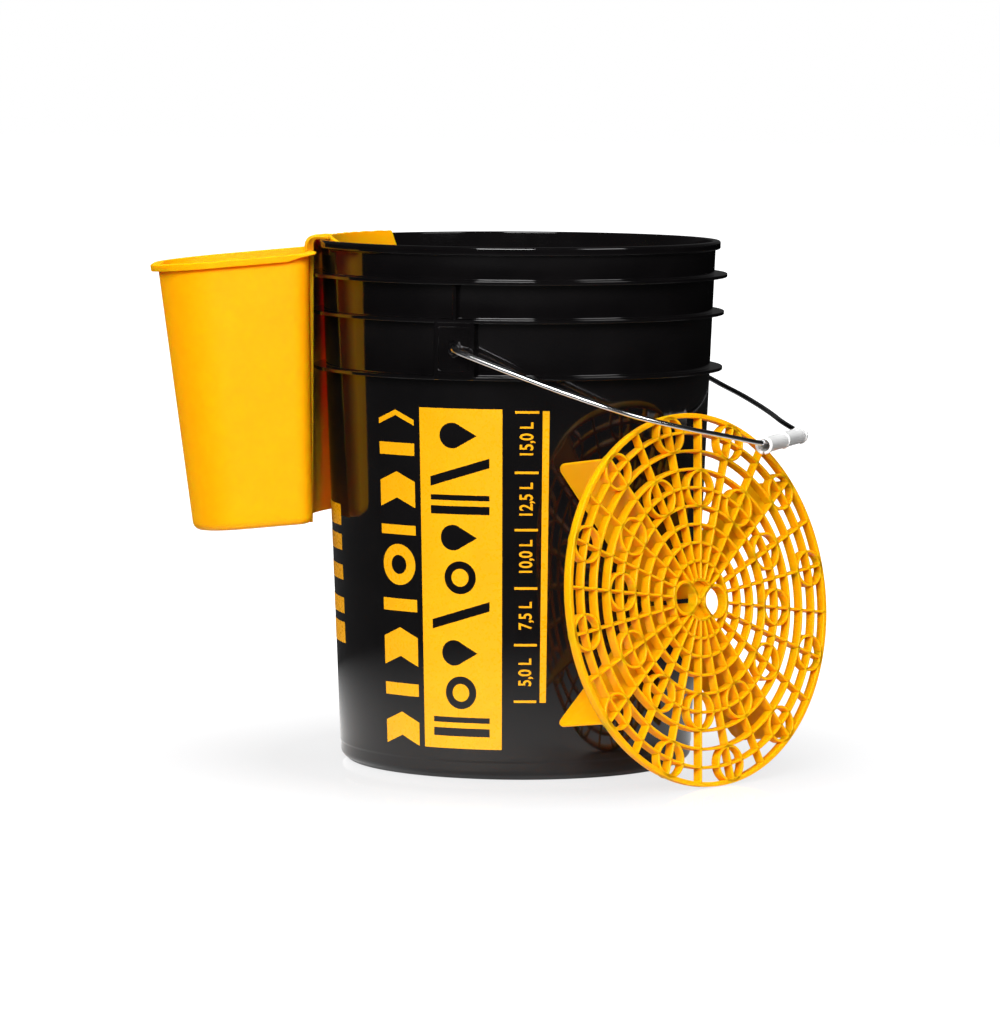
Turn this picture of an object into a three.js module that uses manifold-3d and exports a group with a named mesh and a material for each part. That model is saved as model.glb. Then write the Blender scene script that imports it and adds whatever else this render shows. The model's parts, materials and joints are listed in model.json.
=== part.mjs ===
// A 20-litre wash bucket with its wire bail and grip, the grit guard that leans against it and the
// tool caddy that hooks over its rim. Millimetres, +Z up. The origin is the centre of the bucket's
// base, and the two ears that carry the bail lie on the Y axis.
import * as THREE from 'three';
import { mergeGeometries, mergeVertices } from 'three/addons/utils/BufferGeometryUtils.js';
import Module from 'manifold-3d';

const wasm = await Module();
wasm.setup();

const DEG = Math.PI / 180;

// ---- bucket -----------------------------------------------------------------------------------
const BUCKET_HEIGHT = 386.7;
const BASE_RADIUS = 130.6;
const TOP_RADIUS = 146.5;
const WALL = 2.2;
const FLOOR_TOP = 5.5;
// The inside corner at the floor as [inset from the wall's inside, height].
const FLOOR_CORNER = [[0, 12], [1.6, 8.2], [5, 6], [10, FLOOR_TOP]];
const TURN_STEPS = 64;
const STEP_HEIGHT = 14;
const STEP_DEPTH = 0.6;
// The outside corner at the base as [inset from the step, height].
const BASE_CORNER = [[2.4, 1.1], [0.9, 3], [0.2, 5.4]];
const RIM_RADIUS = 150;
const RIM_DEPTH = 6.2;
const FLANGE_THICKNESS = 2;
const FLANGES = [
  { radius: 152, height: 292.6 },
  { radius: 153, height: 333.6 },
  { radius: 155.2, height: 361.2 },
];
const FOOT_RADIUS = 125.5;
const FOOT_WIDTH = 13;
const HUB_PAD_RADIUS = 30;
const BASE_RECESS = 2.4;
const BASE_RIBS = 8;
const BASE_RIB_WIDTH = 4;

// ---- ears on the bucket -----------------------------------------------------------------------
const EAR_HEIGHT = 314.5;
const EAR_WIDTH = 30.4;
const EAR_FACE = 152.2;
const EAR_ROOT = 142;
const EAR_RECESS = { width: 23, height: 32, depth: 0.8 };
const EAR_RECESS_DROP = 1;
const EAR_BOSS = { width: 9.6, height: 13, proud: 1.2, root: 2.8 };
const EAR_HOLE_RADIUS = 2.4;
const EAR_HOLE_END = 146;
const EAR_HOLE_DEPTH = 20;
const EAR_RIB = { width: 2.6, face: 151.6, root: 143 };

// ---- bail and grip ----------------------------------------------------------------------------
const WIRE_RADIUS = 1.9;
const WIRE_STEPS = 84;
const BAIL_DROOP = 18.8 * DEG;
const BAIL_REACH = 215;
// Half of the hoop, as [distance along the pivot axis, reach from it].
const BAIL_HALF = [
  [147, 0], [152, 0], [157.5, 0.6], [162, 4.6], [163.8, 12], [163.4, 30], [161.6, 60], [158.2, 90],
  [152.6, 110], [144, 126], [132, 143], [117, 161.5], [99, 180], [84, 196], [75, BAIL_REACH - 9],
  [67, BAIL_REACH - 1.6], [60, BAIL_REACH], [30, BAIL_REACH],
];
const GRIP_LENGTH = 108;
const GRIP_OFFSET = 4;
const GRIP_RADIUS = 5.3;
const GRIP_BORE = 2.4;
const GRIP_SLIT = 1.4;
const GRIP_END_INSET = 0.5;
const COLLAR_RADIUS = 6.3;
const COLLAR_WIDTH = 3;

// ---- grit guard -------------------------------------------------------------------------------
const GUARD_RADIUS = 134.7;
const GUARD_DEPTH = 7;
const GUARD_RIM = { width: 2.8, depth: 4.4, chamfer: 2.2 };
const RING_WIDTH = 2;
const SPOKE_WIDTH = 1.8;
const SPOKES = 24;
const RING_FIRST = 28;
const RING_STEP = 13.25;
const RING_COUNT = 8;
const HUB_RADIUS = 14.5;
const HUB_CELLS = [4, 5, 6, 7, 16, 17, 18, 19];
const HUB_WEB_HALF_ANGLE = 33 * DEG;
const HUB_WEB_START = 2.4;
const CIRCLE_RADIUS = 12.6;
const CIRCLE_STEPS = 16;
const CIRCLE_WIDTH = 1.8;
const CIRCLES = [
  { reach: 121, count: 12, start: 15 * DEG },
  { reach: 80.5, count: 12, start: 0 },
];
const FINGER_HOLE_RADIUS = 10.6;
const FINGER_HOLE_OFFSET = 15.5;
const FIN_NAMES = ['fin_a', 'fin_b', 'fin_c', 'fin_d'];
const FIN_DEPTH = 54;
const FIN_REACH = 133;
const FIN_START = 3.5;
const FIN_CORNER = 8;
const FIN_THICKNESS = 2;
const FIN_GAP = 0.3;
const GUARD_FACING = -27.1 * DEG;
const GUARD_LEAN = 8.4 * DEG;
const GUARD_TURN = -8.2 * DEG;
const GUARD_DISTANCE = 193.1;
const GUARD_SIDESTEP = -5.7;

// ---- caddy: X points away from the bucket, and +Y is the side next to the bail's near ear -----
const CADDY_BEARING = 197.6 * DEG;
const CADDY_TILT = 5.3 * DEG;
const CADDY_LIP_DROP = 8;
const CADDY_INNER = 3.5;
const CADDY_OUTER = 117;
const CADDY_HALF_WIDTH = 64.5;
const CADDY_DEPTH = 198.6;
const CADDY_WALL = 2.2;
const CADDY_CORNER = 46;
const CADDY_INNER_CORNER = 13;
const CADDY_DRAFT = { inner: 4.4 * DEG, outer: 2.4 * DEG, side: 1.2 * DEG };
const CADDY_FLOOR_EDGE = 6;
const LIP_OVERHANG = 5.5;
const LIP_THICKNESS = 1.6;
// The skirt runs at its full depth as far as X = full, and slopes up to nothing at X = end.
const LIP_SKIRT = { depth: 5, full: 13.5, end: 6.9 };
const LIP_CORNER = 2;
const BACK = { inside: 155.8, outside: 158.4, bottom: 178.7, top: 373.5 };
const BACK_SPAN = { from: -26 * DEG, to: 15 * DEG };
const HOOK_TOP = 389.5;
const HOOK_SPAN = { from: -12 * DEG, to: 10.2 * DEG };
const HOOK_LEG = { inside: 153.4, outside: 158.4, bottom: 374 };
const HOOK_CORNER = { outside: 6.5, inside: 3 };
const HOOK_RIB = { proud: 0.9, halfAngle: 0.4 * DEG };
const HOOK_RIB_ANGLES = [9.8 * DEG, 4.5 * DEG, -2 * DEG, -8.5 * DEG];
const PLATE = { inside: 138.6, outside: 141.2, top: 390.8, bottom: 328.7, corner: 32 };
const PLATE_SPAN = 51 * DEG;
// The plate's upper outline as [Y, Z]: straight on the far side, sloping down on the near one.
const PLATE_FAR = [[-99.5, PLATE.top], [-103.6, 376], [-105, 366]];
const PLATE_NEAR = [[60, 366], [57, 379], [48, 386.4], [22.5, PLATE.top]];
const RUNNING_GAP = 0.5;

// ---- helpers ----------------------------------------------------------------------------------
function solid(geometry) {
  const bare = geometry.clone();
  bare.deleteAttribute('normal');
  bare.deleteAttribute('uv');
  const welded = mergeVertices(bare, 1e-4);
  return new wasm.Manifold(new wasm.Mesh({
    numProp: 3,
    vertProperties: new Float32Array(welded.attributes.position.array),
    triVerts: new Uint32Array(welded.index.array),
  }));
}

function geometryOf(manifold) {
  const mesh = manifold.getMesh();
  const geometry = new THREE.BufferGeometry();
  geometry.setAttribute(
    'position', new THREE.BufferAttribute(new Float32Array(mesh.vertProperties), 3));
  geometry.setIndex(new THREE.BufferAttribute(new Uint32Array(mesh.triVerts), 1));
  return geometry;
}

function join(...solids) {
  return solids.reduce((sum, next) => sum.add(next));
}

function box(width, depth, height, x, y, z) {
  return new THREE.BoxGeometry(width, depth, height).translate(x, y, z);
}

function turned(profile, segments = TURN_STEPS) {
  const points = profile.map(([radius, height]) => new THREE.Vector2(radius, height));
  return new THREE.LatheGeometry(points, segments).rotateX(Math.PI / 2);
}

function prism(points, depth) {
  const shape = new THREE.Shape(points.map(([x, y]) => new THREE.Vector2(x, y)));
  return new THREE.ExtrudeGeometry(shape, { depth, bevelEnabled: false });
}

// An arc's points from one angle to another, both ends included.
function arc(cx, cy, radius, from, to, steps) {
  return Array.from({ length: steps + 1 }, (_, i) => {
    const angle = from + (to - from) * i / steps;
    return [cx + radius * Math.cos(angle), cy + radius * Math.sin(angle)];
  });
}

function mapPoints(geometry, change) {
  const position = geometry.attributes.position;
  const point = new THREE.Vector3();
  for (let i = 0; i < position.count; i += 1) {
    point.fromBufferAttribute(position, i);
    change(point);
    position.setXYZ(i, point.x, point.y, point.z);
  }
  return geometry;
}

function plastic(color, roughness) {
  return new THREE.MeshStandardMaterial({ color, roughness, metalness: 0 });
}

function part(name, geometry, material) {
  const mesh = new THREE.Mesh(geometry, material);
  mesh.name = name;
  return mesh;
}

// ---- the bucket's shell -----------------------------------------------------------------------
function wallRadius(height) {
  return BASE_RADIUS + (TOP_RADIUS - BASE_RADIUS) * height / BUCKET_HEIGHT;
}

function bucketProfile() {
  const step = wallRadius(STEP_HEIGHT) - STEP_DEPTH;
  const base = [
    [0, 0], [HUB_PAD_RADIUS, 0], [HUB_PAD_RADIUS, BASE_RECESS],
    [FOOT_RADIUS - FOOT_WIDTH, BASE_RECESS], [FOOT_RADIUS - FOOT_WIDTH, 0], [FOOT_RADIUS, 0],
    ...BASE_CORNER.map(([inset, height]) => [step - inset, height]),
    [step, STEP_HEIGHT - 1], [wallRadius(STEP_HEIGHT), STEP_HEIGHT],
  ];
  const flanges = FLANGES.flatMap(({ radius, height }) => {
    const low = height - FLANGE_THICKNESS / 2;
    const high = height + FLANGE_THICKNESS / 2;
    return [[wallRadius(low), low], [radius, low], [radius, high], [wallRadius(high), high]];
  });
  const underRim = BUCKET_HEIGHT - RIM_DEPTH;
  const rim = [
    [wallRadius(underRim), underRim], [RIM_RADIUS - 0.5, underRim + 0.2],
    [RIM_RADIUS, underRim + 0.8], [RIM_RADIUS, BUCKET_HEIGHT - 1],
    [RIM_RADIUS - 0.8, BUCKET_HEIGHT], [TOP_RADIUS - WALL + 0.8, BUCKET_HEIGHT],
    [TOP_RADIUS - WALL, BUCKET_HEIGHT - 0.8],
  ];
  const floorWall = wallRadius(FLOOR_CORNER[0][1]) - WALL;
  const inside = FLOOR_CORNER.map(([inset, height]) => [floorWall - inset, height]);
  return [...base, ...flanges, ...rim, ...inside, [0, FLOOR_TOP]];
}

function baseRib(index) {
  const inner = HUB_PAD_RADIUS - 2;
  const outer = FOOT_RADIUS - FOOT_WIDTH + 2;
  const height = BASE_RECESS + 1;
  const rib = box(outer - inner, BASE_RIB_WIDTH, height, (inner + outer) / 2, 0, height / 2);
  return solid(rib.rotateZ((index + 0.5) * 2 * Math.PI / BASE_RIBS));
}

function ellipsePrism(width, height, depth) {
  const shape = new THREE.Shape();
  shape.absellipse(0, 0, width / 2, height / 2, 0, 2 * Math.PI);
  return new THREE.ExtrudeGeometry(shape, { depth, bevelEnabled: false, curveSegments: 12 });
}

// One ear: a pad between two flanges with a blind hole for the bail's end, and a rib above it.
function addEar(body, side) {
  const [lower, middle, upper] = FLANGES.map((flange) => flange.height);
  const turn = side > 0 ? Math.PI : 0;
  const place = (geometry) => solid(geometry.rotateZ(turn));
  const pad = place(box(EAR_WIDTH, EAR_FACE - EAR_ROOT, middle - lower,
    0, -(EAR_FACE + EAR_ROOT) / 2, (lower + middle) / 2));
  const recess = place(box(EAR_RECESS.width, 2 * EAR_RECESS.depth, EAR_RECESS.height,
    0, -EAR_FACE, EAR_HEIGHT - EAR_RECESS_DROP));
  const boss = place(ellipsePrism(EAR_BOSS.width, EAR_BOSS.height, EAR_BOSS.proud + EAR_BOSS.root)
    .rotateX(Math.PI / 2).translate(0, EAR_BOSS.root - EAR_FACE, EAR_HEIGHT));
  const hole = place(new THREE.CylinderGeometry(
    EAR_HOLE_RADIUS, EAR_HOLE_RADIUS, EAR_HOLE_DEPTH, 16)
    .translate(0, -EAR_HOLE_END - EAR_HOLE_DEPTH / 2, EAR_HEIGHT));
  const rib = place(box(EAR_RIB.width, EAR_RIB.face - EAR_RIB.root, upper - middle,
    0, -(EAR_RIB.face + EAR_RIB.root) / 2, (middle + upper) / 2));
  return join(body, pad, rib).subtract(recess).add(boss).subtract(hole);
}

function bucketShell() {
  let body = solid(turned(bucketProfile()));
  for (let i = 0; i < BASE_RIBS; i += 1) body = body.add(baseRib(i));
  for (const side of [-1, 1]) body = addEar(body, side);
  return part('bucket_shell', geometryOf(body), plastic(0x0a0a0b, 0.18));
}

// ---- bail and grip ----------------------------------------------------------------------------
function bailPoint(along, reach) {
  return new THREE.Vector3(
    reach * Math.cos(BAIL_DROOP), -along, EAR_HEIGHT - reach * Math.sin(BAIL_DROOP));
}

function bailWire() {
  const near = BAIL_HALF.map(([along, reach]) => bailPoint(along, reach));
  const far = BAIL_HALF.map(([along, reach]) => bailPoint(-along, reach)).reverse();
  const path = new THREE.CatmullRomCurve3([...near, ...far], false, 'centripetal');
  const section = new THREE.Shape();
  section.absarc(0, 0, WIRE_RADIUS, 0, 2 * Math.PI);
  const geometry = new THREE.ExtrudeGeometry(section, {
    steps: WIRE_STEPS, extrudePath: path, curveSegments: 5, bevelEnabled: false,
  });
  const steel = new THREE.MeshStandardMaterial({ color: 0xd9dcdf, roughness: 0.22, metalness: 1 });
  return part('bail_wire', geometry, steel);
}

// A tube section open along a slit, so that it can be pushed onto the wire.
function slitTube(radius, length, centre) {
  const outer = Math.asin(GRIP_SLIT / 2 / radius);
  const inner = Math.asin(GRIP_SLIT / 2 / GRIP_BORE);
  const outline = [
    ...arc(0, 0, radius, outer, 2 * Math.PI - outer, 20),
    ...arc(0, 0, GRIP_BORE, 2 * Math.PI - inner, inner, 14),
  ];
  return solid(prism(outline, length).translate(0, 0, centre - length / 2));
}

function gripPart() {
  const end = (GRIP_LENGTH - COLLAR_WIDTH) / 2;
  let body = slitTube(GRIP_RADIUS, GRIP_LENGTH - 2 * GRIP_END_INSET, 0);
  for (const centre of [-end, 0, end]) {
    body = body.add(slitTube(COLLAR_RADIUS, COLLAR_WIDTH, centre));
  }
  const mesh = part('grip', geometryOf(body), plastic(0xf2f2ee, 0.4));
  mesh.position.copy(bailPoint(GRIP_OFFSET, BAIL_REACH));
  // The tube's axis goes from +Z to -Y, and its slit from +X to straight down.
  mesh.quaternion.setFromRotationMatrix(new THREE.Matrix4().makeBasis(
    new THREE.Vector3(0, 0, -1), new THREE.Vector3(1, 0, 0), new THREE.Vector3(0, -1, 0)));
  return mesh;
}

// ---- grit guard: the grille's front face is z = 0, and its fins stand behind it ----------------
// A straight hole through the grille with the given outline.
function throughHole(outline) {
  return prism(outline, 3 * GUARD_DEPTH).translate(0, 0, -2 * GUARD_DEPTH);
}

// The outline of one opening, between two rings and two spokes.
function guardCell(inside, outside, index, steps) {
  const pitch = 2 * Math.PI / SPOKES;
  const half = (radius) => pitch / 2 - Math.asin(SPOKE_WIDTH / 2 / radius);
  const middle = (index + 0.5) * pitch;
  return [
    ...arc(0, 0, outside, middle - half(outside), middle + half(outside), steps),
    ...arc(0, 0, inside, middle + half(inside), middle - half(inside), steps),
  ];
}

function guardOutlines() {
  const outlines = [];
  for (let ring = 0; ring < RING_COUNT; ring += 1) {
    const inside = RING_FIRST + ring * RING_STEP + RING_WIDTH / 2;
    const outside = ring === RING_COUNT - 1
      ? GUARD_RADIUS - GUARD_RIM.width
      : RING_FIRST + (ring + 1) * RING_STEP - RING_WIDTH / 2;
    const steps = inside > GUARD_RADIUS / 2 ? 2 : 1;
    for (let i = 0; i < SPOKES; i += 1) outlines.push(guardCell(inside, outside, i, steps));
  }
  const hub = HUB_RADIUS + RING_WIDTH / 2;
  for (const i of HUB_CELLS) outlines.push(guardCell(hub, RING_FIRST - RING_WIDTH / 2, i, 1));
  for (const side of [-1, 1]) {
    outlines.push(
      arc(side * FINGER_HOLE_OFFSET, 0, FINGER_HOLE_RADIUS, 0, 2 * Math.PI, 20).slice(1));
    const middle = side * Math.PI / 2;
    outlines.push([[0, side * HUB_WEB_START],
      ...arc(0, 0, HUB_RADIUS - RING_WIDTH / 2, middle - HUB_WEB_HALF_ANGLE,
        middle + HUB_WEB_HALF_ANGLE, 4)]);
  }
  return outlines;
}

function guardCircles() {
  const inner = CIRCLE_RADIUS - CIRCLE_WIDTH / 2;
  const outer = CIRCLE_RADIUS + CIRCLE_WIDTH / 2;
  const profile = [
    [inner, -GUARD_DEPTH], [outer, -GUARD_DEPTH], [outer, 0], [inner, 0], [inner, -GUARD_DEPTH],
  ];
  return CIRCLES.flatMap(({ reach, count, start }) => Array.from({ length: count }, (_, i) => {
    const angle = start + i * 2 * Math.PI / count;
    return turned(profile, CIRCLE_STEPS)
      .translate(reach * Math.cos(angle), reach * Math.sin(angle), 0);
  }));
}

function guardGrille() {
  const disc = solid(turned([
    [0, -GUARD_DEPTH], [GUARD_RADIUS - GUARD_RIM.chamfer, -GUARD_DEPTH],
    [GUARD_RADIUS, -GUARD_RIM.depth], [GUARD_RADIUS, 0], [0, 0],
  ], 72));
  const holes = solid(mergeGeometries(guardOutlines().map(throughHole)));
  const circles = solid(mergeGeometries(guardCircles()));
  const fingerRings = solid(mergeGeometries([-1, 1].map((side) => throughHole(
    arc(side * FINGER_HOLE_OFFSET, 0, FINGER_HOLE_RADIUS, 0, 2 * Math.PI, 20).slice(1)))));
  const whole = disc.subtract(holes).add(disc.intersect(circles)).subtract(fingerRings);
  return part('guard_grille', geometryOf(whole), plastic(0xffb400, 0.42));
}

// One of the four fins that stand behind the grille under its diagonal spokes.
function guardFin(name, index) {
  const top = -GUARD_DEPTH - FIN_GAP;
  const outline = [
    [FIN_START, top], [FIN_REACH, top],
    ...arc(FIN_REACH - FIN_CORNER, FIN_CORNER - FIN_DEPTH, FIN_CORNER, 0, -Math.PI / 2, 4),
    [FIN_START, -FIN_DEPTH],
  ];
  const mesh = part(`guard_${name}`, prism(outline, FIN_THICKNESS)
    .translate(0, 0, -FIN_THICKNESS / 2).rotateX(Math.PI / 2), plastic(0xffb400, 0.42));
  mesh.rotation.z = (index + 0.5) * Math.PI / 2;
  return mesh;
}

function gritGuard() {
  const group = new THREE.Group();
  group.add(guardGrille(), ...FIN_NAMES.map(guardFin));
  const facing = new THREE.Vector3(
    Math.cos(GUARD_LEAN) * Math.cos(GUARD_FACING),
    Math.cos(GUARD_LEAN) * Math.sin(GUARD_FACING),
    Math.sin(GUARD_LEAN));
  const across = new THREE.Vector3(-Math.sin(GUARD_FACING), Math.cos(GUARD_FACING), 0);
  const up = new THREE.Vector3().crossVectors(facing, across);
  group.quaternion.setFromRotationMatrix(new THREE.Matrix4().makeBasis(across, up, facing));
  group.rotateZ(GUARD_TURN);
  const outward = new THREE.Vector3(Math.cos(GUARD_FACING), Math.sin(GUARD_FACING), 0);
  group.position.copy(outward).multiplyScalar(GUARD_DISTANCE)
    .addScaledVector(across, GUARD_SIDESTEP);
  group.position.z = GUARD_RADIUS * Math.cos(GUARD_LEAN) + GUARD_RIM.depth * Math.sin(GUARD_LEAN);
  return group;
}

// ---- caddy ------------------------------------------------------------------------------------
// The basket's plan: rounded far corners and smaller ones next to the bucket.
function basketPlan(grow, nearCorner) {
  const far = CADDY_CORNER + grow;
  const x0 = CADDY_INNER - grow;
  const x1 = CADDY_OUTER + grow;
  const w = CADDY_HALF_WIDTH + grow;
  return [
    ...arc(x1 - far, w - far, far, 0, Math.PI / 2, 8),
    ...arc(x0 + nearCorner, w - nearCorner, nearCorner, Math.PI / 2, Math.PI, 4),
    ...arc(x0 + nearCorner, -w + nearCorner, nearCorner, Math.PI, 1.5 * Math.PI, 4),
    ...arc(x1 - far, -w + far, far, 1.5 * Math.PI, 2 * Math.PI, 8),
  ];
}

// A drafted block with the basket's plan, between two heights below the lip.
function basketBlock(grow, top, bottom, nearCorner = CADDY_INNER_CORNER + grow) {
  const middle = (CADDY_INNER + CADDY_OUTER) / 2;
  const halfLength = (CADDY_OUTER - CADDY_INNER) / 2;
  const block = prism(basketPlan(grow, nearCorner), top - bottom).translate(0, 0, bottom);
  return solid(mapPoints(block, (point) => {
    const depth = -point.z;
    const share = (point.x - middle) / halfLength;
    const draft = share > 0 ? CADDY_DRAFT.outer : CADDY_DRAFT.inner;
    point.x -= share * depth * Math.tan(draft);
    point.y -= point.y / CADDY_HALF_WIDTH * depth * Math.tan(CADDY_DRAFT.side);
  }));
}

// The lip: a flat edge all round, with a skirt that slopes away to nothing next to the bucket.
function lip() {
  const { depth, full, end } = LIP_SKIRT;
  const block = basketBlock(LIP_OVERHANG, 0, -depth, LIP_CORNER);
  const under = basketBlock(
    LIP_OVERHANG - LIP_THICKNESS, -LIP_THICKNESS, -2 * depth, LIP_CORNER);
  const width = 3 * CADDY_HALF_WIDTH;
  const slope = solid(prism([
    [-CADDY_OUTER, -LIP_THICKNESS], [end, -LIP_THICKNESS], [full, -depth - 0.1],
    [full, -2 * depth], [-CADDY_OUTER, -2 * depth],
  ].reverse(), width).rotateX(Math.PI / 2).translate(0, width / 2, 0));
  return block.subtract(under).subtract(slope);
}

// The basket's solid body and its hollow, both cut back to the curve of the bucket.
function basket() {
  const edge = CADDY_FLOOR_EDGE;
  const shell = basketBlock(0, 0, edge - CADDY_DEPTH);
  const heel = basketBlock(-0.3 * edge, 0, 0.3 * edge - CADDY_DEPTH);
  const sole = basketBlock(-edge, 0, -CADDY_DEPTH);
  const hollow = join(
    basketBlock(-CADDY_WALL, CADDY_WALL, edge - CADDY_DEPTH),
    basketBlock(-CADDY_WALL - edge, 0, CADDY_WALL - CADDY_DEPTH));
  const tilt = new THREE.Matrix4().makeRotationY(CADDY_TILT).setPosition(
    RIM_RADIUS, 0, BUCKET_HEIGHT - CADDY_LIP_DROP);
  const place = (body) => solid(geometryOf(body).applyMatrix4(tilt));
  const core = (radius) => solid(turned([[0, 0], [radius, 0], [radius, HOOK_TOP], [0, HOOK_TOP]], 96));
  return {
    body: place(join(lip(), shell, heel, sole)).subtract(core(BACK.inside)),
    hollow: place(hollow).subtract(core(BACK.outside)),
  };
}

// A part of a turned ring between two angles.
function turnedSpan(profile, { from, to }, steps) {
  const reach = Math.max(...profile.map(([radius]) => radius)) + 5;
  const heights = profile.map(([, height]) => height);
  const low = Math.min(...heights) - 1;
  const wedge = prism([[0, 0], ...arc(0, 0, reach, from, to, 4)], Math.max(...heights) - low + 1);
  return solid(turned(profile, steps)).intersect(solid(wedge.translate(0, 0, low)));
}

// The hook's section, closed on itself: a bridge over the rim and a leg outside it.
function hookProfile(proud) {
  const { inside, outside, bottom } = HOOK_LEG;
  const underside = BUCKET_HEIGHT + RUNNING_GAP;
  const start = [(PLATE.inside + PLATE.outside) / 2, underside];
  return [
    start,
    ...arc(inside - HOOK_CORNER.inside, underside - HOOK_CORNER.inside, HOOK_CORNER.inside,
      Math.PI / 2, 0, 4),
    [inside, bottom], [outside + proud, bottom],
    ...arc(outside - HOOK_CORNER.outside, HOOK_TOP - HOOK_CORNER.outside,
      HOOK_CORNER.outside + proud, 0, Math.PI / 2, 6),
    [start[0], HOOK_TOP + proud], start,
  ];
}

function hook() {
  const ribs = HOOK_RIB_ANGLES.map((angle) => turnedSpan(
    hookProfile(HOOK_RIB.proud),
    { from: angle - HOOK_RIB.halfAngle, to: angle + HOOK_RIB.halfAngle }, 96));
  return join(turnedSpan(hookProfile(0), HOOK_SPAN, 96), ...ribs);
}

// The plate that hangs inside the bucket, cut to its outline.
function innerPlate() {
  const { inside, outside, top, bottom, corner } = PLATE;
  const ring = [[inside, bottom], [outside, bottom], [outside, top], [inside, top], [inside, bottom]];
  const near = PLATE_NEAR[0][0];
  const far = PLATE_FAR[PLATE_FAR.length - 1][0];
  const outline = [
    ...PLATE_FAR,
    ...arc(far + corner, bottom + corner, corner, Math.PI, 1.5 * Math.PI, 6),
    ...arc(near - corner, bottom + corner, corner, 1.5 * Math.PI, 2 * Math.PI, 6),
    ...PLATE_NEAR,
  ];
  const cutter = solid(prism(outline, 2 * outside).applyMatrix4(new THREE.Matrix4().makeBasis(
    new THREE.Vector3(0, 1, 0), new THREE.Vector3(0, 0, 1), new THREE.Vector3(1, 0, 0))));
  return turnedSpan(ring, { from: -PLATE_SPAN, to: PLATE_SPAN }, 96).intersect(cutter);
}

function caddy() {
  const { body, hollow } = basket();
  const { inside, outside, bottom, top } = BACK;
  const back = turnedSpan(
    [[inside, bottom], [outside, bottom], [outside, top], [inside, top], [inside, bottom]],
    BACK_SPAN, 96);
  const whole = join(body, back).subtract(hollow).add(join(hook(), innerPlate()));
  const mesh = part('caddy', geometryOf(whole), plastic(0xffb800, 0.36));
  mesh.rotation.z = CADDY_BEARING;
  return mesh;
}

const bucket = new THREE.Group();
bucket.add(bucketShell(), bailWire(), gripPart(), gritGuard(), caddy());

export default bucket;
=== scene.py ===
import json
import math
import bpy
import bmesh
from mathutils import Matrix, Vector
from mathutils.geometry import tessellate_polygon


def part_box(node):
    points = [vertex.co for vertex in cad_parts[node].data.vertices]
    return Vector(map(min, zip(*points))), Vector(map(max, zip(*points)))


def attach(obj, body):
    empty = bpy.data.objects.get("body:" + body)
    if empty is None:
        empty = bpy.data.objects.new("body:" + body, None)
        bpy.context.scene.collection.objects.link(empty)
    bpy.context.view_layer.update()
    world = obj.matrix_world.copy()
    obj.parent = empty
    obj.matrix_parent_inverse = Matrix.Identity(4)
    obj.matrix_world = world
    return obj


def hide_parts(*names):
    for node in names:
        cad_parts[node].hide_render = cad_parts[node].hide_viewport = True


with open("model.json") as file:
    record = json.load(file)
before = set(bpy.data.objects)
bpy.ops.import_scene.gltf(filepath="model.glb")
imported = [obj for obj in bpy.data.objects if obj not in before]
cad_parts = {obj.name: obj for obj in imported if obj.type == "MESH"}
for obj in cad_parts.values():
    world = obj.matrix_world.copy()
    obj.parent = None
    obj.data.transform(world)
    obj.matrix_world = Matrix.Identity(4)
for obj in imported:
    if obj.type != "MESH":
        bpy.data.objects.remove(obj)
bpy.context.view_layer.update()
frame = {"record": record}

MM = 0.001
TURN = 2 * math.pi
rad = math.radians
# The camera looks along +Y in a frame that is turned this far about +Z from the row frame.
LOOK_TURN = rad(17.6)


# ---- shape helpers ---------------------------------------------------------------------------
def arc(cx, cy, radius, start, end, steps):
    return [(cx + radius * math.cos(start + (end - start) * i / steps),
             cy + radius * math.sin(start + (end - start) * i / steps)) for i in range(steps + 1)]


def filleted(corners, steps=4, closed=True):
    """The outline of (x, y, radius) corners with each corner rounded to its radius."""
    points = []
    count = len(corners)
    for i, (x, y, radius) in enumerate(corners):
        here = Vector((x, y))
        if radius <= 0 or (not closed and i in (0, count - 1)):
            points.append((x, y))
            continue
        before = Vector(corners[i - 1][:2]) - here
        after = Vector(corners[(i + 1) % count][:2]) - here
        half = before.angle(after) / 2
        if half > math.pi / 2 - 0.01:
            points.append((x, y))
            continue
        reach = min(radius / math.tan(half), before.length * 0.48, after.length * 0.48)
        radius = reach * math.tan(half)
        inward = (before.normalized() + after.normalized()).normalized()
        middle = here + inward * radius / math.sin(half)
        first = here + before.normalized() * reach - middle
        last = here + after.normalized() * reach - middle
        sweep = math.atan2(first.x * last.y - first.y * last.x, first.dot(last))
        for k in range(steps + 1):
            a = sweep * k / steps
            points.append((middle.x + first.x * math.cos(a) - first.y * math.sin(a),
                           middle.y + first.x * math.sin(a) + first.y * math.cos(a)))
    return points


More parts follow.
